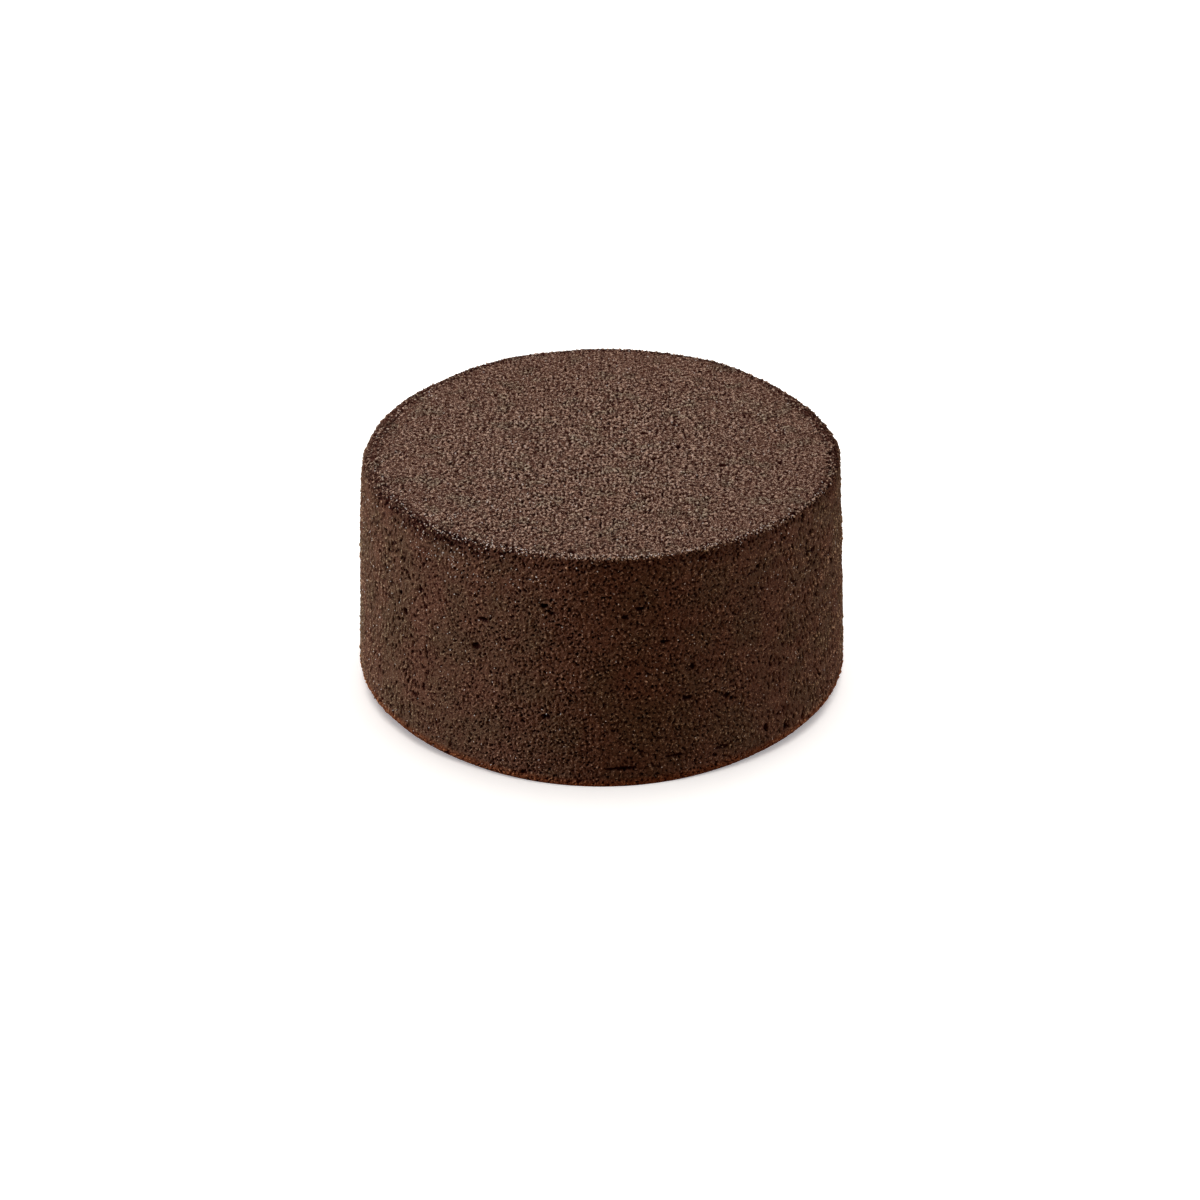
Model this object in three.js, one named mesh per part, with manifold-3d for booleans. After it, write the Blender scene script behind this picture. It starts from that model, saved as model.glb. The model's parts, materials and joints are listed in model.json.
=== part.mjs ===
// A chocolate mud cake, whole and uncut: one solid piece of close, moist crumb, baked in a
// round tin, turned out and left bare. Millimetres, +Z up, with the front towards -Y. The
// origin is the middle of the flat underside.

import * as THREE from 'three';
import { ParametricGeometry } from 'three/addons/geometries/ParametricGeometry.js';
import { ImprovedNoise } from 'three/addons/math/ImprovedNoise.js';
import { mergeGeometries, mergeVertices } from 'three/addons/utils/BufferGeometryUtils.js';
import Module from 'manifold-3d';

// The whole cake.
const BASE_DIAMETER = 203.2; // it fills an 8 inch round tin
const HEIGHT = 100.8;
const WALL_LEAN = 2.87; // how far the wall leans in between the underside and the top
const PLAN_STRETCH = 0.0037; // extra radius at front and back, and as much less at the sides

// The rim, where the wall turns into the top: crisp in front, slumped at the two sides.
const RIM_FRONT = 1.2;
const RIM_SIDE = 7.9;
const RIM_BACK = 4.6;

// The foot, where the wall turns under: square at front and back, tucked in at the two sides.
const FOOT_TUCK = 9.7;
const FOOT_HEIGHT = 5.8;
const FOOT_HEIGHT_SIDE = 7.1;

// Unevenness of the baked surface: broad swells, with lumps of the size of a crumb cluster.
const SWELL_DEPTH = 0.7;
const SWELL_WIDTH = 24;
const LUMP_DEPTH = 0.55;
const LUMP_WIDTH = 6.5;

// Facets: slices round the cake, a multiple of 8, and steps along a slice's outline.
const SLICES = 96;
const FOOT_STEPS = 3;
const WALL_STEPS = 14;
const RIM_STEPS = 4;

// The pits that stand out on the front: burst bubbles, placed by the angle round from the
// front in degrees, positive towards +X, and by height. A long one is a fissure.
const FRONT_PITS = [
  { angle: -64.6, height: 22.3, wide: 2.4, tall: 2.2 },
  { angle: -52.8, height: 57.1, wide: 3.4, tall: 2.6 },
  { angle: -49.3, height: 57.4, wide: 2.2, tall: 1.8 },
  { angle: -28.0, height: 67.9, wide: 4.2, tall: 2.4 },
  { angle: -21.9, height: 61.4, wide: 2.6, tall: 1.4 },
  { angle: -13.2, height: 78.6, wide: 3.2, tall: 2.4 },
  { angle: -11.1, height: 75.5, wide: 2.4, tall: 1.8 },
  { angle: -12.7, height: 30.2, wide: 3.4, tall: 2.0 },
  { angle: 5.5, height: 74.4, wide: 2.8, tall: 1.6 },
  { angle: 8.9, height: 78.0, wide: 3.6, tall: 1.6 },
  { angle: 14.3, height: 62.7, wide: 3.0, tall: 1.4 },
  { angle: 21.5, height: 49.8, wide: 3.0, tall: 2.6 },
  { angle: 20.0, height: 36.3, wide: 5.2, tall: 1.8 },
  { angle: 30.0, height: 33.6, wide: 2.8, tall: 2.6 },
  { angle: 41.2, height: 12.5, wide: 2.4, tall: 2.4 },
  { angle: 47.9, height: 8.8, wide: 2.6, tall: 2.4 },
  { angle: 4.5, height: 8.0, wide: 15, tall: 1.3 },
  { angle: 17.5, height: 11.5, wide: 10, tall: 1.2 },
  { angle: 29.0, height: 10.5, wide: 7, tall: 1.2 },
];
const PIT_DEPTH = 1.5; // of the widest; a small pit is as deep as half its height
const MORE_WALL_PITS = 18; // on the sides and back
const MORE_WALL_PITS_FROM = 62; // degrees round from the front, either way
const TOP_PITS = 12;
const PIT_WIDTHS = [1.8, 3.6];

// Nicks in the crumbling rim, closest together on its front left stretch.
const RIM_NICKS = 16;
const RIM_NICKS_LEFT = 12;
const RIM_LEFT_STRETCH = [-64, -22];
const NICK_WIDTHS = [2.0, 4.0];

const BAKE_SEED = 41;
const CRUMB_COLOUR = '#3a2219';
const CRUMB_ROUGHNESS = 0.7;

const FULL_TURN = 2 * Math.PI;
const QUARTER_TURN = Math.PI / 2;

// 1 at the front of the cake and 0 at its back.
function frontShare(angle) {
  return 0.5 * (1 + Math.cos(angle));
}

// 1 at the two sides and 0 at front and back.
function sideShare(angle) {
  return 0.5 * (1 - Math.cos(2 * angle));
}

function wallRadius(angle, height) {
  const plan = BASE_DIAMETER / 2 - WALL_LEAN * (height / HEIGHT);
  return plan * (1 + PLAN_STRETCH * Math.cos(2 * angle));
}

// The rim's radius, which goes from its front value to its back value through the side's.
function rimRadius(angle) {
  const front = frontShare(angle);
  const back = 1 - front;
  const pull = 2 * RIM_SIDE - (RIM_FRONT + RIM_BACK) / 2;
  return RIM_FRONT * front ** 2 + RIM_BACK * back ** 2 + pull * 2 * front * back;
}

function footTuck(angle) {
  return FOOT_TUCK * sideShare(angle);
}

function footHeight(angle) {
  return FOOT_HEIGHT + (FOOT_HEIGHT_SIDE - FOOT_HEIGHT) * sideShare(angle);
}

// One upright slice's outline from the middle of the underside, round the foot, up the wall
// and over the rim to the top. Each point has its radius and height, and how much an uneven
// surface moves it outwards and upwards.
function sliceOutline(angle) {
  const outline = [{ radius: 0, height: 0, out: 0, up: 0 }];
  for (let step = 0; step <= FOOT_STEPS; step += 1) {
    const turn = QUARTER_TURN * (step / FOOT_STEPS);
    const height = footHeight(angle) * (1 - Math.cos(turn));
    const radius = wallRadius(angle, height) - footTuck(angle) * (1 - Math.sin(turn));
    outline.push({ radius, height, out: Math.sin(turn), up: 0 });
  }
  const wallFrom = footHeight(angle);
  const wallTo = HEIGHT - rimRadius(angle);
  for (let step = 1; step < WALL_STEPS; step += 1) {
    const height = wallFrom + (wallTo - wallFrom) * (step / WALL_STEPS);
    outline.push({ radius: wallRadius(angle, height), height, out: 1, up: 0 });
  }
  for (let step = 0; step <= RIM_STEPS; step += 1) {
    const turn = QUARTER_TURN * (step / RIM_STEPS);
    const height = wallTo + rimRadius(angle) * Math.sin(turn);
    const radius = wallRadius(angle, height) - rimRadius(angle) * (1 - Math.cos(turn));
    outline.push({ radius, height, out: Math.cos(turn), up: Math.sin(turn) });
  }
  return outline;
}

const noise = new ImprovedNoise();

function unevenness(x, y, z) {
  const swell = noise.noise(x / SWELL_WIDTH, y / SWELL_WIDTH, z / SWELL_WIDTH);
  const lump = noise.noise(x / LUMP_WIDTH, y / LUMP_WIDTH, z / LUMP_WIDTH);
  return SWELL_DEPTH * swell + LUMP_DEPTH * lump;
}

// A slice's angle round from the front, in radians, positive towards +X. Slices may be counted
// from the front either way.
function sliceAngle(slice) {
  return FULL_TURN * (((slice + SLICES) % SLICES) / SLICES);
}

// Sets a point at an angle round from the front, moved by the unevenness there.
function setSkinPoint(target, angle, { radius, height, out, up }) {
  const move = unevenness(radius * Math.sin(angle), -radius * Math.cos(angle), height);
  const moved = radius + move * out;
  target.set(moved * Math.sin(angle), -moved * Math.cos(angle), height + move * up);
}

// The skin from the middle of the underside up to the top's edge: the slices side by side.
function sideSurface() {
  const steps = sliceOutline(0).length - 1;
  function sidePoint(around, along, target) {
    const angle = sliceAngle(Math.round(around * SLICES));
    setSkinPoint(target, angle, sliceOutline(angle)[Math.round(along * steps)]);
  }
  return new ParametricGeometry(sidePoint, SLICES, steps);
}

// The top: a square grid drawn out to a disc. Each square ring of the grid becomes a round
// one, a quarter of it for each side of the square, and the grid's edge meets the slices.
function topSurface() {
  const cells = SLICES / 4;
  function topPoint(across, deep, target) {
    const x = Math.round(across * cells) - cells / 2;
    const y = Math.round(deep * cells) - cells / 2;
    const ring = Math.max(Math.abs(x), Math.abs(y));
    let quarters = 0;
    if (ring > 0 && Math.abs(y) === ring) {
      quarters = (y > 0 ? 2 : 0) - x / (2 * y);
    } else if (ring > 0) {
      quarters = Math.sign(x) + y / (2 * x);
    }
    const angle = sliceAngle(quarters * cells);
    const edge = wallRadius(angle, HEIGHT) - rimRadius(angle);
    const radius = edge * (ring / (cells / 2));
    setSkinPoint(target, angle, { radius, height: HEIGHT, out: 0, up: 1 });
  }
  return new ParametricGeometry(topPoint, cells, cells);
}

const wasm = await Module();
wasm.setup();

// A closed geometry as a solid: vertices at one place are merged, and the triangles that have
// shrunk to nothing where slices meet on the axis are left out.
function solidFrom(geometry) {
  geometry.deleteAttribute('normal');
  geometry.deleteAttribute('uv');
  const merged = mergeVertices(geometry);
  const corners = merged.index.array;
  const kept = [];
  for (let i = 0; i < corners.length; i += 3) {
    const [a, b, c] = corners.slice(i, i + 3);
    if (a !== b && b !== c && c !== a) {
      kept.push(a, b, c);
    }
  }
  return new wasm.Manifold(new wasm.Mesh({
    numProp: 3,
    vertProperties: new Float32Array(merged.attributes.position.array),
    triVerts: new Uint32Array(kept),
  }));
}

function geometryFrom(solid) {
  const mesh = solid.getMesh();
  const geometry = new THREE.BufferGeometry();
  geometry.setAttribute('position', new THREE.BufferAttribute(mesh.vertProperties, 3));
  geometry.setIndex(new THREE.BufferAttribute(mesh.triVerts, 1));
  return geometry;
}

// Random numbers from 0 to 1, the same on each run.
function seededRandom(seed) {
  let state = seed;
  return () => {
    state = (state + 0x6d2b79f5) | 0;
    let mixed = Math.imul(state ^ (state >>> 15), 1 | state);
    mixed = (mixed + Math.imul(mixed ^ (mixed >>> 7), 61 | mixed)) ^ mixed;
    return ((mixed ^ (mixed >>> 14)) >>> 0) / 2 ** 32;
  };
}

const random = seededRandom(BAKE_SEED);

function between([low, high]) {
  return low + (high - low) * random();
}

// A hollow that a bubble leaves: a squashed ball about a point on the skin, wide round the
// cake, deep into it and tall across both. Its lean is 0 on the wall and a quarter turn on
// the top.
function hollow({ angle, radius, height, wide, tall, lean }) {
  const ball = new THREE.SphereGeometry(1, 7, 5);
  const deep = Math.min(PIT_DEPTH, tall / 2);
  ball.scale(wide / 2, deep, tall / 2);
  ball.rotateX(-lean);
  const skin = new THREE.Vector3();
  const out = Math.cos(lean);
  const up = Math.sin(lean);
  setSkinPoint(skin, angle, { radius, height, out, up });
  ball.translate(0, -Math.hypot(skin.x, skin.y), skin.z);
  ball.rotateZ(angle);
  return ball;
}

function wallHollow({ angle, height, wide, tall }) {
  const turned = THREE.MathUtils.degToRad(angle);
  const radius = wallRadius(turned, height);
  return hollow({ angle: turned, radius, height, wide, tall, lean: 0 });
}

function rimHollow(angle) {
  const turned = THREE.MathUtils.degToRad(angle);
  const inset = rimRadius(turned) * (1 - Math.SQRT1_2);
  const wide = between(NICK_WIDTHS);
  return hollow({
    angle: turned,
    radius: wallRadius(turned, HEIGHT) - inset,
    height: HEIGHT - inset,
    wide,
    tall: wide * 0.7,
    lean: QUARTER_TURN / 2,
  });
}

function topHollow() {
  const wide = between(PIT_WIDTHS);
  const reach = wallRadius(0, HEIGHT) - RIM_SIDE - PIT_WIDTHS[1];
  return hollow({
    angle: FULL_TURN * random(),
    radius: reach * Math.sqrt(random()),
    height: HEIGHT,
    wide,
    tall: wide * 0.8,
    lean: QUARTER_TURN,
  });
}

function hollows() {
  const all = FRONT_PITS.map(wallHollow);
  for (let i = 0; i < MORE_WALL_PITS; i += 1) {
    const wide = between(PIT_WIDTHS);
    all.push(wallHollow({
      angle: between([MORE_WALL_PITS_FROM, 360 - MORE_WALL_PITS_FROM]),
      height: between([FOOT_HEIGHT_SIDE, HEIGHT - RIM_SIDE]),
      wide,
      tall: wide * 0.7,
    }));
  }
  for (let i = 0; i < TOP_PITS; i += 1) {
    all.push(topHollow());
  }
  for (let i = 0; i < RIM_NICKS; i += 1) {
    all.push(rimHollow(360 * ((i + random()) / RIM_NICKS)));
  }
  for (let i = 0; i < RIM_NICKS_LEFT; i += 1) {
    all.push(rimHollow(between(RIM_LEFT_STRETCH)));
  }
  return all;
}

function cakeGeometry() {
  let solid = solidFrom(mergeGeometries([sideSurface(), topSurface()]));
  for (const pit of hollows()) {
    solid = solid.subtract(solidFrom(pit));
  }
  const geometry = geometryFrom(solid);
  geometry.computeBoundingBox();
  const middle = geometry.boundingBox.getCenter(new THREE.Vector3());
  geometry.translate(-middle.x, -middle.y, 0);
  return geometry;
}

const crumb = new THREE.MeshStandardMaterial({
  color: CRUMB_COLOUR,
  roughness: CRUMB_ROUGHNESS,
  metalness: 0,
});

const cake = new THREE.Mesh(cakeGeometry(), crumb);
cake.name = 'cake';

const model = new THREE.Group();
model.add(cake);

export default model;
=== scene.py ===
import json
from itertools import product

import bpy
import numpy as np
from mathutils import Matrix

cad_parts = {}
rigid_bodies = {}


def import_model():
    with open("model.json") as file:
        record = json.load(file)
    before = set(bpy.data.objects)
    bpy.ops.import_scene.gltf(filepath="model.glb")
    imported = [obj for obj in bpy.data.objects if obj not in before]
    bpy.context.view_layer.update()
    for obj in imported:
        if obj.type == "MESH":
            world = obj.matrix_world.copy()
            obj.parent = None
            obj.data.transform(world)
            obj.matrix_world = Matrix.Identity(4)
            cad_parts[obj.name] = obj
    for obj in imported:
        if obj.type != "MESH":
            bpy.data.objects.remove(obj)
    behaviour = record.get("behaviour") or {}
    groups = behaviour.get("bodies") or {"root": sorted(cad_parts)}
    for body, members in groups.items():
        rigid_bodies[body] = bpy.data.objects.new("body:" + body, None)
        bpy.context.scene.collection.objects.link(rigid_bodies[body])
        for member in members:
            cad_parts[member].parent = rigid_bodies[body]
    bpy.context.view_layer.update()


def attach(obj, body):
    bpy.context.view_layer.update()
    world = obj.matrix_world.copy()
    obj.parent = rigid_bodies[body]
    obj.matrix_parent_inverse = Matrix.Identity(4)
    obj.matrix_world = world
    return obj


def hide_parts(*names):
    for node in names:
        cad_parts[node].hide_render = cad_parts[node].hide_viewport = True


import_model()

# The cake's form. A real one is a single tall round mud cake, risen against the wall of its tin
# and turned out: flat below, with a foot that tucks in at the two sides, a wall that leans in
# slightly, and a rim that is crisp in front and slumped behind both sides. Sizes are in mm.
MM = 0.001
BASE_RADIUS = 100.5
HEIGHT = 100.8
WALL_LEAN = 2.9
PLAN_STRETCH = 0.005  # share by which the plan is longer from front to back and narrower across
RIM_FRONT, RIM_BACK = 1.6, 2.4  # how far the rim is rounded
RIM_SLUMPS = [(-108, 45, 5.4), (112, 25, 5.5)]  # degrees round, width in degrees, added rounding
FOOT_TUCK = 12.0
FOOT_HEIGHT, FOOT_HEIGHT_SIDE = 6.4, 7.8

COLUMNS = 1728  # points round the cake, a multiple of 8 and of the six side fields
FOOT_ROWS, WALL_ROWS, RIM_ROWS = 22, 238, 20


def front_share(angle):
    """1 at the front of the cake and 0 at its back: half of one plus the angle's cosine."""
    return 0.5 * (1 + np.cos(angle))


def side_share(angle):
    """1 at the sides and 0 at front and back: half of one less the cosine of twice the angle."""
    return 0.5 * (1 - np.cos(2 * angle))


def wall_radius(angle, height):
    """The base radius less the lean's share for the height, stretched by the cosine of twice the
    angle."""
    return (BASE_RADIUS - WALL_LEAN * height / HEIGHT) * (1 + PLAN_STRETCH * np.cos(2 * angle))


def bell(angle, degrees, width):
    """1 at some degrees round the cake, falling off on both sides as the normal curve does."""
    off = np.angle(np.exp(1j * (angle - np.radians(degrees))))
    return np.exp(-((off / np.radians(width)) ** 2))


def rim_radius(angle):
    """The rounding of the rim: small at front and back, and more where it slumped."""
    front = front_share(angle)
    slumped = sum(rounding * bell(angle, degrees, width) for degrees, width, rounding in RIM_SLUMPS)
    return RIM_FRONT * front + RIM_BACK * (1 - front) + slumped


def foot_tuck(angle):
    """How far the foot's lowest edge lies inside the wall: all of it at the two sides, and none at
    front and back."""
    return FOOT_TUCK * side_share(angle)


def foot_height(angle):
    """The height at which the foot's rounding ends."""
    return FOOT_HEIGHT + (FOOT_HEIGHT_SIDE - FOOT_HEIGHT) * side_share(angle)


def foot_point(angle, turn):
    """A quarter ellipse: the height grows with one less the turn's cosine, and the radius with its
    sine."""
    height = foot_height(angle) * (1 - np.cos(turn))
    return wall_radius(angle, height) - foot_tuck(angle) * (1 - np.sin(turn)), height


def rim_point(angle, turn):
    """A quarter circle from the wall over to the top."""
    height = HEIGHT - rim_radius(angle) * (1 - np.sin(turn))
    return wall_radius(angle, height) - rim_radius(angle) * (1 - np.cos(turn)), height


def side_grid(columns, foot_rows, wall_rows, rim_rows):
    """Angle, radius, height, and the share of the relief that goes outwards and upwards, for rows
    up the foot, the wall and the rim, and columns evenly round the cake."""
    angle = np.linspace(0, 2 * np.pi, columns, endpoint=False)[None, :]
    foot_turn = np.linspace(0, np.pi / 2, foot_rows, endpoint=False)[:, None]
    rim_turn = np.linspace(0, np.pi / 2, rim_rows + 1)[:, None]
    up_wall = np.linspace(0, 1, wall_rows, endpoint=False)[:, None]
    wall_top = HEIGHT - rim_radius(angle)
    wall_height = foot_height(angle) + (wall_top - foot_height(angle)) * up_wall
    foot = foot_point(angle, foot_turn)
    rim = rim_point(angle, rim_turn)
    radius = np.vstack([foot[0], wall_radius(angle, wall_height), rim[0]])
    height = np.vstack([foot[1], wall_height, rim[1]])
    level = np.zeros_like(foot_turn)
    out = np.vstack([np.sin(foot_turn), np.ones_like(up_wall), np.cos(rim_turn)])
    up = np.vstack([level, np.zeros_like(up_wall), np.sin(rim_turn)])
    angle, out, up = (np.broadcast_to(values, radius.shape) for values in (angle, out, up))
    return angle, radius, height, out, up


def top_grid(columns):
    """A square grid drawn out to a disc, in cells as many along a side as a quarter of the columns:
    each square ring becomes a round one. Returns the angle, the radius and the column at each
    point, and whether it lies on the disc's edge."""
    cells = columns // 4
    x, y = np.meshgrid(np.arange(cells + 1) - cells / 2, np.arange(cells + 1) - cells / 2)
    ring = np.maximum(np.abs(x), np.abs(y))
    safe_x = np.where(x == 0, 1, x)
    safe_y = np.where(y == 0, 1, y)
    front_or_back = np.where(y > 0, 2, 0) - x / (2 * safe_y)
    left_or_right = np.sign(x) + y / (2 * safe_x)
    quarters = np.where(np.abs(y) == ring, front_or_back, left_or_right)
    column = quarters * cells % columns
    angle = 2 * np.pi * column / columns
    edge = wall_radius(angle, HEIGHT) - rim_radius(angle)
    return angle, edge * ring / (cells / 2), column, ring == cells / 2


# The baked surface. Close crumb is never smooth: it swells and sinks, breaks into clusters and
# crumbs, and shows the bubbles that burst against the tin. All of it is worked out here as
# depths in mm from a few seeded patterns in space, so that it runs round the rim unbroken.
TURN = np.array([[0.36, 0.48, -0.8], [-0.8, 0.6, 0.0], [0.48, 0.64, 0.6]])  # about a slanted axis


def hashed(cells, seed, count):
    """Random numbers from 0 to 1 for each whole-numbered cell: its coordinates are multiplied by
    large odd numbers, joined by exclusive or, and stirred by shifts and products."""
    cells = cells.astype(np.int64).astype(np.uint32)
    mixed = cells[..., 0] * np.uint32(0x8DA6B343) ^ cells[..., 1] * np.uint32(0xD8163841)
    mixed = mixed ^ cells[..., 2] * np.uint32(0xCB1AB31F) ^ np.uint32(seed * 0x9E3779B1 % 2**32)
    numbers = []
    for _ in range(count):
        mixed = (mixed ^ mixed >> np.uint32(16)) * np.uint32(0x7FEB352D)
        mixed = (mixed ^ mixed >> np.uint32(15)) * np.uint32(0x846CA68B)
        mixed = mixed ^ mixed >> np.uint32(16)
        numbers.append(mixed / 2.0**32)
    return np.stack(numbers, axis=-1)


def lumps(points, width, seed):
    """Noise from -1 to 1: random heights at the corners of cubes as wide as a lump, blended
    smoothly across each cube. The cubes are turned, so that they line up with no flat face."""
    place = points @ TURN / width
    cell = np.floor(place)
    part = place - cell
    part = part * part * (3 - 2 * part)
    total = np.zeros(points.shape[:-1])
    for corner in product((0, 1), repeat=3):
        corner = np.array(corner)
        weight = np.prod(np.where(corner == 1, part, 1 - part), axis=-1)
        total += weight * hashed(cell + corner, seed, 1)[..., 0]
    return 2 * total - 1


def bubbles(points, spacing, radii, stretch, seed):
    """How many radii each point lies from the middle of the nearest of many scattered bubbles, and
    a random number for that bubble. One sits in each cube of the spacing, with a radius random
    between the two radii. Each is an egg, its length the stretch times its width, turned at random:
    the part of the distance along its axis counts for less."""
    place = points @ TURN / spacing
    low_cell = np.floor(place - 0.5)
    nearest = np.full(points.shape[:-1], 9.0)
    luck = np.zeros(points.shape[:-1])
    for offset in product((0, 1), repeat=3):
        there = low_cell + np.array(offset)
        numbers = hashed(there, seed, 8)
        away = (place - there - numbers[..., :3]) * spacing
        axis = numbers[..., 5:] - 0.5
        along = np.sum(away * axis, axis=-1) / np.linalg.norm(axis, axis=-1)
        distance = np.sqrt(np.sum(away**2, axis=-1) - (1 - stretch**-2) * along**2)
        distance /= radii[0] + (radii[1] - radii[0]) * numbers[..., 3]
        luck = np.where(distance < nearest, numbers[..., 4], luck)
        nearest = np.minimum(distance, nearest)
    return nearest, luck


def ridges(points, width, breadth, seed):
    """Crooked lines: 1 where the noise of a width crosses zero, falling to 0 where it reaches the
    breadth, and broken into strokes by a second noise a little wider."""
    line = np.clip(1 - np.abs(lumps(points, width, seed)) / breadth, 0, 1)
    return line * np.clip(2.5 * lumps(points, 1.3 * width, seed + 1) + 0.3, 0, 1)


def dent(distance):
    """A hollow's depth from 0 at its edge, one radius away, to 1 in its middle."""
    return np.clip(1 - distance**2, 0, 1) ** 0.75


# The burst bubbles that stand out on the front: degrees round from the front towards +X,
# height, width, height of the hollow and depth. The long low ones are fissures near the foot.
FRONT_PITS = [
    (-64.6, 22.3, 2.6, 2.4, 1.4), (-52.8, 57.1, 3.6, 2.8, 2.0), (-49.3, 57.4, 2.4, 2.0, 1.4),
    (-28.0, 67.9, 4.6, 2.6, 2.2), (-21.9, 61.4, 2.8, 1.7, 1.3), (-13.2, 78.6, 3.6, 2.6, 2.2),
    (-11.1, 75.5, 2.8, 2.0, 1.8), (-12.7, 30.2, 3.8, 2.2, 1.9), (5.5, 74.4, 3.2, 1.8, 1.5),
    (8.9, 78.0, 4.0, 1.8, 1.7), (14.3, 62.7, 3.2, 1.7, 1.3), (21.5, 49.8, 3.2, 2.8, 1.8),
    (20.0, 36.3, 5.6, 2.0, 1.7), (30.0, 33.6, 3.0, 2.8, 1.5), (41.2, 12.5, 2.6, 2.6, 1.6),
    (47.9, 8.8, 2.8, 2.6, 1.6), (4.5, 8.0, 15.0, 1.7, 1.3), (17.5, 11.5, 10.0, 1.7, 1.2),
    (29.0, 10.5, 7.0, 1.7, 1.2),
]
SWELL_DEPTH, SWELL_WIDTH = 0.5, 24
LUMP_DEPTH, LUMP_WIDTH = 0.14, 6.5
CLUSTER_DEPTH, CLUSTER_WIDTH = 0.07, 2.6
GRAIN_DEPTH, GRAIN_WIDTH = 0.2, 0.7
CELL_SPACING, CELL_RADII, CELL_DEPTH = 1.2, (0.15, 0.37), 0.7
PORE_SPACING, PORE_RADII, PORE_DEPTH, PORE_LIP = 1.65, (0.28, 0.5), 2.0, 0.2
STROKE_HEIGHT, STROKE_WIDTH, STROKE_BREADTH = 0.4, 1.2, 0.4
GROOVE_DEPTH, GROOVE_WIDTH, GROOVE_BREADTH = 0.7, 1.3, 0.35
# How much wider and deeper that relief is on the top, where it is calmer towards the edge and the
# back, and at the two sides, where it is also drawn out upwards. There it comes in over a range of
# the angle's sine.
TOP_COARSENESS, TOP_OPENNESS, TOP_CALM = 1.1, 1.6, 0.55
DRAWN_COARSENESS, DRAWN_OPENNESS, DRAWN_LENGTH = 1.4, 1.5, 1.7
DRAWN_FROM, DRAWN_OVER = 0.55, 0.3
PIT_SPACING, PIT_RADII, PIT_DEPTH, PIT_SHARE = 11.0, (0.8, 1.8), 1.8, 0.35
RAGGED, RAGGED_WIDTH = 0.45, 1.6  # how far a pit's edge wanders, in half widths
NICK_SPACING, NICK_RADII, NICK_DEPTH = 1.7, (0.4, 0.7), 4.0
# The band under the rim is also sunk, which lowers it and, through the material, lays painted shade
# on it.
RIM_BAND_DEPTH, RIM_BAND_WIDTH, RIM_SUNK = 2.8, 3.2, 0.5
RIM_CRUMBLES = [(-40, 17, 0.8), (76, 15, 0.4)]  # degrees round, width in degrees, how badly
CRUMBLES_ANYWHERE, CRUMBLES_BEHIND = 0.2, 0.4
REDDER_HEIGHT, REDDER_HEIGHT_SIDE, REDDER_OVER = 4.0, 10.0, 3.0
LINE_DEPTH, LINE_LENGTH, LINE_WIDTH = 0.22, 16, 1.1  # the marks that the tin left on the right


def above_neighbours(crumb):
    """The crumb less its mean over seven points by seven, so that no place lies low for long."""
    mean = crumb
    for axis in (0, 1):
        mean = sum(np.roll(mean, step, axis) for step in range(-3, 4)) / 7
    return crumb - mean


def crumb_relief(points, coarseness):
    """Grain, raised strokes and grooves, less the cells and pores, each pore with a raised lip.
    Every width in it is times the coarseness."""
    points = points / coarseness
    crumb = GRAIN_DEPTH * lumps(points, GRAIN_WIDTH, 4)
    crumb += STROKE_HEIGHT * ridges(points, STROKE_WIDTH, STROKE_BREADTH, 20)
    crumb -= GROOVE_DEPTH * ridges(points, GROOVE_WIDTH, GROOVE_BREADTH, 22)
    crumb = above_neighbours(crumb)
    crumb -= CELL_DEPTH * dent(bubbles(points, CELL_SPACING, CELL_RADII, 1.6, 5)[0])
    away, luck = bubbles(points, PORE_SPACING, PORE_RADII, 2, 6)
    crumb -= PORE_DEPTH * dent(away) * (0.3 + 0.7 * luck)
    return crumb + PORE_LIP * np.clip(1 - np.abs(away - 1.4) / 0.4, 0, 1) * luck


def crumble_share(angle):
    """How badly the rim crumbles round the cake: most on the front left, less on the right and at
    the back, and little elsewhere."""
    crumbling = CRUMBLES_ANYWHERE
    for degrees, width, badly in RIM_CRUMBLES:
        crumbling = crumbling + badly * bell(angle, degrees, width)
    return crumbling + CRUMBLES_BEHIND * (1 - front_share(angle))


def rim_share(angle, radius, height, depth, width):
    """1 at a depth below the rim, falling off in a width down the wall and inwards over the top,
    where the back of the rim reaches further in."""
    below = HEIGHT - height - depth
    inside = np.clip(wall_radius(angle, HEIGHT) - rim_radius(angle) - radius, 0, None)
    return np.exp(-((below / width) ** 2) - (inside / (1.8 - front_share(angle))) ** 2)


def crumbled(angle, radius, height):
    """How badly the surface is crumbled: in a band under the rim, or on the rim at the back."""
    band = rim_share(angle, radius, height, RIM_BAND_DEPTH * front_share(angle), RIM_BAND_WIDTH)
    return band * crumble_share(angle)


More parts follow.
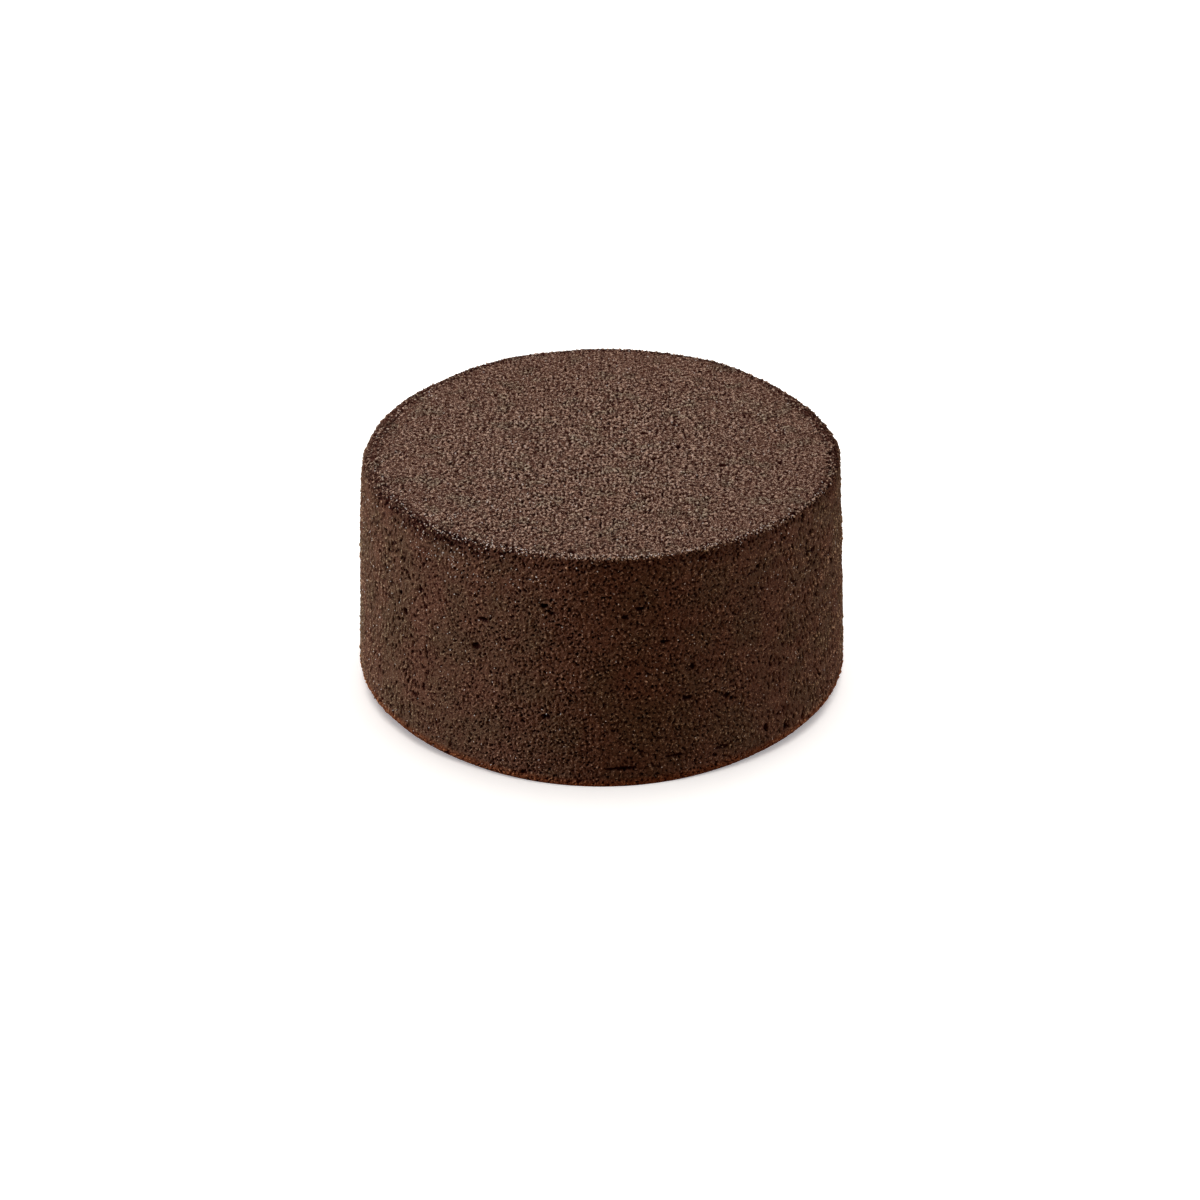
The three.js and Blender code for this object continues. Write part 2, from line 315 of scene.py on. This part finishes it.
def baked_relief(angle, radius, height, out, up):
    """How far the surface stands proud of the form at each point, in mm, and how far of the smooth
    skin over the crumb: the swells and lumps, then crumbs less the pores, pits, fissures and the
    rim's crumbling."""
    points = np.stack([radius * np.sin(angle), -radius * np.cos(angle), height], axis=-1)
    swell = SWELL_DEPTH * lumps(points, SWELL_WIDTH, 1) + LUMP_DEPTH * lumps(points, LUMP_WIDTH, 2)
    swell += CLUSTER_DEPTH * lumps(points, CLUSTER_WIDTH, 3)
    drawn = out * np.clip((np.abs(np.sin(angle)) - DRAWN_FROM) / DRAWN_OVER, 0, 1)
    crumb = crumb_relief(points, 1) * (1 - up - drawn)
    crumb += DRAWN_OPENNESS * crumb_relief(points / [1, 1, DRAWN_LENGTH], DRAWN_COARSENESS) * drawn
    calm = TOP_CALM * (radius / BASE_RADIUS) ** 2 * (2 - front_share(angle))
    crumb += (TOP_OPENNESS - calm) * crumb_relief(points, TOP_COARSENESS) * up
    away, luck = bubbles(points, PIT_SPACING, PIT_RADII, 1.5, 7)
    crumb -= PIT_DEPTH * dent(away) * (luck < PIT_SHARE)
    ragged = [RAGGED * lumps(points, RAGGED_WIDTH, seed) for seed in (8, 9)]
    for degrees, pit_height, wide, tall, deep in FRONT_PITS:
        across = np.angle(np.exp(1j * (angle - np.radians(degrees)))) * radius / (wide / 2)
        along = (height - pit_height) / (tall / 2)
        crumb -= deep * dent(np.hypot(across + ragged[0], along + ragged[1])) * (up < 0.5)
    along_tin = points * [LINE_WIDTH / LINE_LENGTH, LINE_WIDTH / LINE_LENGTH, 1]
    crumb += LINE_DEPTH * lumps(along_tin, LINE_WIDTH, 12) * np.clip(np.sin(angle), 0, 1) * out
    crumbly = crumbled(angle, radius, height)
    away, luck = bubbles(points, NICK_SPACING, NICK_RADII, 1.5, 10)
    crumb -= NICK_DEPTH * dent(away) * crumbly * (0.5 + 0.5 * luck) + RIM_SUNK * crumbly
    return swell + crumb, crumb


def foot_redness(angle, height):
    """How much redder the foot's lower edge is: higher up at the sides."""
    top = REDDER_HEIGHT + (REDDER_HEIGHT_SIDE - REDDER_HEIGHT) * side_share(angle)
    return np.clip((top - height) / REDDER_OVER, 0, 1)


def skin(angle, radius, height, out, up):
    """Places in mm, each point of the form moved outwards and upwards by its share of the relief,
    and how far each stands proud of the smooth skin."""
    relief, crumb = baked_relief(angle, radius, height, out, up)
    moved = radius + relief * out
    x, y = moved * np.sin(angle), -moved * np.cos(angle)
    return np.stack([x, y, height + relief * up], axis=-1), crumb


# The skin is one closed surface, kept in nine fields so that each can be fine enough to show its
# pores: six up the side, two on the top and the flat underside. Each field is closed by a fan of
# faces to the cake's middle, so that the nine fit together into the solid cake.
SIDE_FIELDS = 6
MIDDLE = (0, 0, HEIGHT / 2)


def set_attribute(mesh, name, values):
    """Gives each vertex of a mesh its number under a name that the material reads."""
    mesh.attributes.new(name, "FLOAT", "POINT").data.foreach_set("value", values)


def add_piece(name, mesh, material):
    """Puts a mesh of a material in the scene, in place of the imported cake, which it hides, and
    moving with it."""
    mesh.materials.append(material)
    piece = bpy.data.objects.new(name, mesh)
    bpy.context.scene.collection.objects.link(piece)
    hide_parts("cake")
    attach(piece, "root")


def field_mesh(name, places, attributes):
    """A grid of points as quads that face outwards, rows upwards and columns to the right, closed
    by a fan from its border to the middle. The attributes go along by name."""
    rows, columns = places.shape[:2]
    index = np.arange(rows * columns).reshape(rows, columns)
    corners = [index[:-1, :-1], index[:-1, 1:], index[1:, 1:], index[1:, :-1]]
    quads = np.stack(corners, axis=-1).reshape(-1, 4)
    border = np.concatenate([index[0, :-1], index[:-1, -1], index[-1, :0:-1], index[:0:-1, 0]])
    fan = np.stack([np.roll(border, -1), border, np.full(len(border), index.size)], axis=-1)
    mesh = bpy.data.meshes.new(name)
    points = np.vstack([places.reshape(-1, 3), [MIDDLE]]) * MM
    mesh.vertices.add(len(points))
    mesh.vertices.foreach_set("co", points.ravel())
    mesh.loops.add(quads.size + fan.size)
    mesh.loops.foreach_set("vertex_index", np.concatenate([quads.ravel(), fan.ravel()]))
    sizes = np.concatenate([np.full(len(quads), 4), np.full(len(fan), 3)])
    mesh.polygons.add(len(sizes))
    mesh.polygons.foreach_set("loop_start", np.concatenate([[0], np.cumsum(sizes)[:-1]]))
    mesh.polygons.foreach_set("use_smooth", sizes == 4)
    for attribute, values in attributes.items():
        set_attribute(mesh, attribute, np.append(values.ravel(), 0.0))
    mesh.update(calc_edges=True)
    return mesh


def linear(colour):
    """An sRGB hex colour as linear red, green, blue and alpha: the standard's straight foot and
    power curve."""
    levels = np.array([int(colour[i:i + 2], 16) for i in (1, 3, 5)]) / 255
    curved = ((levels + 0.055) / 1.055) ** 2.4
    return (*np.where(levels <= 0.04045, levels / 12.92, curved), 1.0)


def add_node(tree, kind, settings=None, **links):
    """Adds a node, sets its properties and inputs, and links inputs given as sockets."""
    node = tree.nodes.new(kind)
    for name, value in (settings or {}).items():
        setattr(node, name, value)
    for name, value in links.items():
        key = int(name[1:]) if name[1:].isdigit() else name.replace("_", " ")
        if isinstance(value, bpy.types.NodeSocket):
            tree.links.new(value, node.inputs[key])
        else:
            node.inputs[key].default_value = value
    return node


# Moist chocolate crumb: cocoa, butter and melted chocolate baked to a dense dark sponge, in red
# and olive patches on the wall and with grey spots on the top, and redder along the foot's lower
# edge. What stands proud is paler crumb with a painted highlight, and the pores are darkened nearly
# to black with painted shade.
CRUMB_RED, CRUMB_OLIVE = "#432415", "#3f2515"
# The top's colour is greyer than the wall's: painted sheen of the light falling on it.
TOP_CRUMB_AND_SHEEN, CRUMB_GREY, FOOT_RED_BROWN = "#482b1d", "#422c1d", "#54260f"
# Gains on the colour: the crests paler, with a painted highlight, and painted shade in the pores.
CREST_TONE_AND_HIGHLIGHT_GAIN, PORE_SHADE_GAIN = (4.8, 6.9, 8.2, 1), (0.3, 0.09, 0.02, 1)  # against the flat places
PATCH_WIDTH, SPOT_WIDTH, SPECK_WIDTH = 15, 9, 0.5  # mm
PATCH_RANGE, SPOT_RANGE, SPOT_STRENGTH = (0.38, 0.62), (0.53, 0.68), 0.6  # ranges of the noise
# How strongly the painted highlight and shade follow the relief, on the wall and on the top.
SPECK_DEPTH, WALL_CONTRAST, TOP_CONTRAST = 1.1, 1.25, 2.25
CREST_HIGHLIGHT_RANGE, PORE_SHADE_RANGE = (0.32, 0.95), (-0.32, -0.62)  # mm proud, times the contrast
BUMP_DEPTH = 0.35


def crumb_material(name):
    """The colour is patched, spotted or redder at the foot by place, then made paler with a painted
    highlight on the crests and darker with painted shade in the pores. These and the bump follow
    the height of the relief and of finer specks."""
    material = bpy.data.materials.new(name)
    material.use_nodes = True
    tree = material.node_tree
    tree.nodes.clear()
    place = add_node(tree, "ShaderNodeTexCoord").outputs["Object"]
    proud, top_share, foot_redness = (
        add_node(tree, "ShaderNodeAttribute", {"attribute_name": attribute}).outputs["Fac"]
        for attribute in ("proud", "top_share", "foot_redness"))

    def noise(width, **shape):
        """Noise whose lumps are so many mm wide."""
        return add_node(tree, "ShaderNodeTexNoise", Vector=place, Scale=1 / (width * MM),
                        **shape).outputs["Fac"]

    def ranged(value, low, high, **to):
        """Carries the range from low to high over to that from 0 to 1, or to the one given."""
        return add_node(tree, "ShaderNodeMapRange", Value=value, From_Min=low, From_Max=high,
                        **to).outputs["Result"]

    def mixed(share, first, second, blend="MIX"):
        """The first colour, with a share of the second mixed in."""
        settings = {"data_type": "RGBA", "blend_type": blend}
        return add_node(tree, "ShaderNodeMix", settings, _0=share, _6=first, _7=second).outputs[2]

    def joined(operation, first, second):
        """Two values added or multiplied."""
        settings = {"operation": operation}
        return add_node(tree, "ShaderNodeMath", settings, _0=first, _1=second).outputs[0]

    patches = noise(PATCH_WIDTH, Detail=2.0, Roughness=0.5)
    specks = noise(SPECK_WIDTH, Detail=1.0, Roughness=0.6)
    speckle = ranged(specks, 0, 1, To_Min=-SPECK_DEPTH, To_Max=SPECK_DEPTH)
    contrast = ranged(top_share, 0, 1, To_Min=WALL_CONTRAST, To_Max=TOP_CONTRAST)
    uneven = joined("MULTIPLY", joined("ADD", speckle, proud), contrast)
    # Painted highlight where the relief stands proud, painted shade where it sinks into the pores.
    crest_highlight = ranged(uneven, *CREST_HIGHLIGHT_RANGE)
    pore = ranged(uneven, *PORE_SHADE_RANGE)
    body = mixed(ranged(patches, *PATCH_RANGE), linear(CRUMB_OLIVE), linear(CRUMB_RED))
    wall = mixed(foot_redness, body, linear(FOOT_RED_BROWN))
    spot = ranged(noise(SPOT_WIDTH, Detail=1.0), *SPOT_RANGE, To_Max=SPOT_STRENGTH)
    top = mixed(spot, linear(TOP_CRUMB_AND_SHEEN), linear(CRUMB_GREY))
    highlight_and_shade = mixed(pore, mixed(crest_highlight, (1, 1, 1, 1), CREST_TONE_AND_HIGHLIGHT_GAIN), PORE_SHADE_GAIN)
    colour = mixed(1.0, mixed(top_share, wall, top), highlight_and_shade, "MULTIPLY")
    bump = add_node(tree, "ShaderNodeBump", Strength=1.0, Distance=BUMP_DEPTH * MM, Height=uneven)
    dull = ranged(pore, 0, 1, To_Min=0.8, To_Max=0.95)
    shader = add_node(tree, "ShaderNodeBsdfPrincipled", Base_Color=colour, Roughness=dull,
                      Normal=bump.outputs["Normal"])
    shader.inputs["Specular IOR Level"].default_value = 0.03
    shader.inputs["Sheen Weight"].default_value = 0.01
    shader.inputs["Sheen Roughness"].default_value = 0.4
    shader.inputs["Sheen Tint"].default_value = linear("#d8c0b0")
    add_node(tree, "ShaderNodeOutputMaterial", Surface=shader.outputs["BSDF"])
    return material


moist_crumb = crumb_material("moist_chocolate_crumb")


def add_field(name, places, crumb, up, foot):
    mesh = field_mesh(name, places, {"proud": crumb, "top_share": up, "foot_redness": foot})
    add_piece(name, mesh, moist_crumb)


side = side_grid(COLUMNS, FOOT_ROWS, WALL_ROWS, RIM_ROWS)
side_places, side_crumb = skin(*side)
side_up, side_foot = side[-1], foot_redness(side[0], side[2])
field_columns = COLUMNS // SIDE_FIELDS
for number in range(SIDE_FIELDS):
    columns = np.arange(number * field_columns, (number + 1) * field_columns + 1) % COLUMNS
    add_field(f"mud_cake_side_{number + 1}", side_places[:, columns], side_crumb[:, columns],
              side_up[:, columns], side_foot[:, columns])

top_angle, top_radius, top_column, on_edge = top_grid(COLUMNS)
flat = np.ones(top_angle.shape)
top_places, top_crumb = skin(top_angle, top_radius, HEIGHT * flat, 0 * flat, flat)
edge_column = np.round(top_column[on_edge]).astype(int) % COLUMNS
top_places[on_edge], top_crumb[on_edge] = side_places[-1, edge_column], side_crumb[-1, edge_column]
half = top_angle.shape[1] // 2
for hand, kept in (("left", slice(half + 1)), ("right", slice(half, None))):
    add_field(f"mud_cake_top_{hand}", top_places[:, kept], top_crumb[:, kept], flat[:, kept],
              0 * flat[:, kept])

# The underside lies flat on what the cake stands on. Its foot ring is fanned to the centre below
# and to the middle above.
ring = np.arange(COLUMNS)
below = np.stack([ring, np.roll(ring, 1), np.full(COLUMNS, COLUMNS)], axis=-1)
above = np.stack([ring, np.roll(ring, -1), np.full(COLUMNS, COLUMNS + 1)], axis=-1)
underside_mesh = bpy.data.meshes.new("mud_cake_underside")
underside_points = np.vstack([side_places[0], [(0, 0, 0), MIDDLE]]) * MM
underside_mesh.from_pydata(underside_points, [], np.vstack([below, above]))
add_piece("mud_cake_underside", underside_mesh, moist_crumb)


# Loose crumbs of the same cake, a millimetre or so long, broken off along the rim and the foot
# and a few lying about, half sunk in the moist skin. Each is a squashed ball of twenty faces.
CRUMB_COUNT, CRUMB_LENGTHS = 2000, (0.5, 1.3)
CRUMB_BREADTH, UNEVENNESS = 0.65, 0.25  # shares of the length and of the ball's radius


def ball():
    """A ball of twenty faces: twelve corners at all signs and turns of nought, one and the golden
    ratio, with a face between each three that lie nearest each other, wound outwards."""
    golden = (1 + 5**0.5) / 2
    corners = []
    for one, other in product((-1, 1), (-golden, golden)):
        corners += [(0, one, other), (one, other, 0), (other, 0, one)]
    corners = np.array(corners)
    near = np.isclose(np.linalg.norm(corners[:, None] - corners, axis=-1), 2)
    faces = []
    for a, b, c in product(range(12), repeat=3):
        outward = np.dot(np.cross(corners[a], corners[b]), corners[c])
        if a < b and a < c and near[a, b] and near[b, c] and near[c, a] and outward > 0:
            faces.append((a, b, c))
    return corners / np.linalg.norm(corners[0]), np.array(faces)


def scattered(weights, count, random):
    """The places, outward directions and shares of the top of points of the skin that are picked
    at random, the likelier the greater their weight."""
    weights = weights / weights.sum()
    chosen = random.choice(len(weights), count, replace=False, p=weights)
    angle, out, up = skin_angle[chosen], skin_out[chosen], skin_up[chosen]
    outward = np.stack([out * np.sin(angle), -out * np.cos(angle), up], axis=-1)
    return skin_places[chosen], outward, up


def joined_balls(name, centres, outward, lengths, breadth, random):
    """One mesh of many lumps: the ball's corners, drawn in or out at random, stretched to each
    length and breadth, turned outwards and round at random, and moved to its centre."""
    corners, faces = ball()
    along = random.normal(size=outward.shape)
    along -= outward * np.sum(along * outward, axis=-1, keepdims=True)
    along /= np.linalg.norm(along, axis=-1, keepdims=True)
    frames = np.stack([along, np.cross(outward, along), outward], axis=1)
    uneven = 1 + UNEVENNESS * random.uniform(-1, 1, (len(centres), len(corners), 1))
    shape = corners * uneven * lengths[:, None, None] / 2 * np.array([1, breadth, breadth])
    points = np.einsum("nij,njk->nik", shape, frames) + centres[:, None]
    triangles = faces + len(corners) * np.arange(len(centres))[:, None, None]
    mesh = bpy.data.meshes.new(name)
    mesh.vertices.add(points.shape[0] * points.shape[1])
    mesh.vertices.foreach_set("co", (points * MM).ravel())
    mesh.loops.add(triangles.size)
    mesh.loops.foreach_set("vertex_index", triangles.ravel())
    mesh.polygons.add(triangles.size // 3)
    mesh.polygons.foreach_set("loop_start", np.arange(0, triangles.size, 3))
    mesh.polygons.foreach_set("use_smooth", np.ones(triangles.size // 3, dtype=bool))
    mesh.update(calc_edges=True)
    return mesh


above_foot = side[2] > 2
skin_places = np.vstack([side_places[above_foot], top_places.reshape(-1, 3)])
skin_angle = np.concatenate([side[0][above_foot], top_angle.ravel()])
skin_out = np.concatenate([side[3][above_foot], 0 * flat.ravel()])
skin_up = np.concatenate([side[4][above_foot], flat.ravel()])
skin_height = np.concatenate([side[2][above_foot], HEIGHT * flat.ravel()])
skin_radius = np.concatenate([side[1][above_foot], top_radius.ravel()])
on_rim = rim_share(skin_angle, skin_radius, skin_height, 0, 1)
front_left = bell(skin_angle, -35, 18)

# Most lie on the rim, with fewer at its front left, and the rest in the crumbling band, towards
# the foot, and here and there.
crumb_random = np.random.default_rng(1959)
crumb_weights = on_rim * (1 - 0.7 * front_left)
crumb_weights += 0.3 * crumbled(skin_angle, skin_radius, skin_height)
crumb_weights += 0.03 * np.exp(-skin_height / 5) + 0.008
crumb_centres, crumb_outward, crumb_up = scattered(crumb_weights, CRUMB_COUNT, crumb_random)
crumb_lengths = crumb_random.uniform(*CRUMB_LENGTHS, CRUMB_COUNT)
crumb_mesh = joined_balls("loose_crumbs", crumb_centres, crumb_outward, crumb_lengths,
                          CRUMB_BREADTH, crumb_random)
# Their random proudness sets how much of the crumb's painted highlight or shade each one takes.
crumb_proud = crumb_random.uniform(-0.3, 1.0, CRUMB_COUNT)
set_attribute(crumb_mesh, "proud", np.repeat(crumb_proud, 12))
set_attribute(crumb_mesh, "top_share", np.repeat(crumb_up, 12))
add_piece("loose_crumbs", crumb_mesh, moist_crumb)

# Glints: beads of cocoa butter about half a millimetre long that sweated out of the crumb as it
# cooled, all over it but closest along the front of the rim and below the rim on the left. They
# are smooth and catch the light as bright points, and their pale colour is painted highlight as
# well.
GLINT_COUNT, GLINT_LENGTHS, GLINT_BREADTH = 2200, (0.35, 0.7), 0.7
butter_and_painted_highlight = bpy.data.materials.new("butter_and_painted_highlight")
butter_and_painted_highlight.use_nodes = True
glint_shader = butter_and_painted_highlight.node_tree.nodes["Principled BSDF"]
# Pale, to paint more highlight onto the beads.
glint_shader.inputs["Base Color"].default_value = linear("#a88c78")
glint_shader.inputs["Roughness"].default_value = 0.25
glint_shader.inputs["Specular IOR Level"].default_value = 0.5
glint_random = np.random.default_rng(1960)
below_rim = np.exp(-(((HEIGHT - 9 - skin_height) / 7) ** 2))
glint_weights = 0.3 + 5 * on_rim * front_share(skin_angle) ** 3 + 3 * front_left * below_rim
glint_centres, glint_outward, _ = scattered(glint_weights, GLINT_COUNT, glint_random)
glint_lengths = glint_random.uniform(*GLINT_LENGTHS, GLINT_COUNT)
glint_mesh = joined_balls("pale_glossy_glints", glint_centres, glint_outward, glint_lengths,
                          GLINT_BREADTH, glint_random)
add_piece("pale_glossy_glints", glint_mesh, butter_and_painted_highlight)


# The studio: a floor of white paper lit from below, a large softbox overhead and a little behind,
# and one on each side, tinted like the sky and shining on the cake alone, the left one stronger.
# Distances here are in metres.
lit_paper = bpy.data.materials.new("lit_paper")
lit_paper.use_nodes = True
paper_shader = lit_paper.node_tree.nodes["Principled BSDF"]
paper_shader.inputs["Base Color"].default_value = linear("#fbf9f6")
paper_shader.inputs["Roughness"].default_value = 0.9
paper_shader.inputs["Specular IOR Level"].default_value = 0.0
paper_shader.inputs["Emission Color"].default_value = linear("#96989c")
paper_shader.inputs["Emission Strength"].default_value = 1.0

FLOOR_HALF = 4.0
floor_mesh = bpy.data.meshes.new("studio_floor")
floor_corners = [(-FLOOR_HALF, -FLOOR_HALF, 0), (FLOOR_HALF, -FLOOR_HALF, 0),
                 (FLOOR_HALF, FLOOR_HALF, 0), (-FLOOR_HALF, FLOOR_HALF, 0)]
floor_mesh.from_pydata(floor_corners, [], [(0, 1, 2, 3)])
floor = bpy.data.objects.new("studio_floor", floor_mesh)
bpy.context.scene.collection.objects.link(floor)
floor.data.materials.append(lit_paper)
floor.visible_glossy = False


def softbox(name, place, aim, width, power, colour="#ffffff"):
    """A square area light of a width, power and colour at a place, turned to face the aim."""
    light = bpy.data.lights.new(name, "AREA")
    light.shape = "SQUARE"
    light.size = width
    light.energy = power
    light.color = linear(colour)[:3]
    lamp = bpy.data.objects.new(name, light)
    lamp.location = place
    direction = np.array(aim) - np.array(place)
    yaw = np.arctan2(direction[0], -direction[1])
    lean = np.arctan2(np.hypot(direction[0], direction[1]), -direction[2])
    lamp.rotation_euler = (lean, 0, yaw + np.pi)
    bpy.context.scene.collection.objects.link(lamp)
    return lamp


SKY_LIGHT = "#b8dcff"
softbox("overhead_softbox", (0, 0.25, 1.5), (0, 0, 0), 1.8, 37)
left = softbox("left_softbox", (-1.3, -0.16, 0.7), (0, 0, 0.05), 0.45, 84, SKY_LIGHT)
right = softbox("right_softbox", (1.3, 0.1, 0.7), (0, 0, 0.05), 0.45, 32, SKY_LIGHT)
lit_from_beside = bpy.data.collections.new("lit_from_beside")
for piece in bpy.context.scene.collection.objects:
    if piece.type == "MESH" and piece != floor:
        lit_from_beside.objects.link(piece)
left.light_linking.receiver_collection = lit_from_beside
right.light_linking.receiver_collection = lit_from_beside

# The air of the studio is faintly lit above the horizon and dark below it.
AIR_STRENGTH = 0.25
world = bpy.data.worlds.new("studio_air")
world.use_nodes = True
air = world.node_tree
direction = add_node(air, "ShaderNodeTexCoord").outputs["Generated"]
upward = add_node(air, "ShaderNodeSeparateXYZ", Vector=direction).outputs["Z"]
above = add_node(air, "ShaderNodeMapRange", Value=upward, From_Min=-0.02, From_Max=0.02,
                 To_Max=AIR_STRENGTH)
air.links.new(above.outputs["Result"], air.nodes["Background"].inputs["Strength"])
air.nodes["Background"].inputs["Color"].default_value = linear("#ffe8d0")
bpy.context.scene.world = world

# The camera stands where the photograph was taken from: in front, well back, and looking down
# on the top at about 27 degrees through a long lens.
CAMERA_ELEVATION = np.radians(27.13)
CAMERA_DISTANCE = 2.098
AIM_HEIGHT = HEIGHT * MM / 2
camera_data = bpy.data.cameras.new("camera")
camera_data.sensor_width = 36
camera_data.lens = 153.1
camera_data.shift_x = -0.0011
camera_data.shift_y = -0.0348
camera_data.clip_end = 50
camera = bpy.data.objects.new("camera", camera_data)
camera.location = (0, -CAMERA_DISTANCE * np.cos(CAMERA_ELEVATION),
                   AIM_HEIGHT + CAMERA_DISTANCE * np.sin(CAMERA_ELEVATION))
camera.rotation_euler = (np.pi / 2 - CAMERA_ELEVATION, 0, 0)
bpy.context.scene.collection.objects.link(camera)
bpy.context.scene.camera = camera
bpy.context.scene.view_settings.view_transform = "Standard"
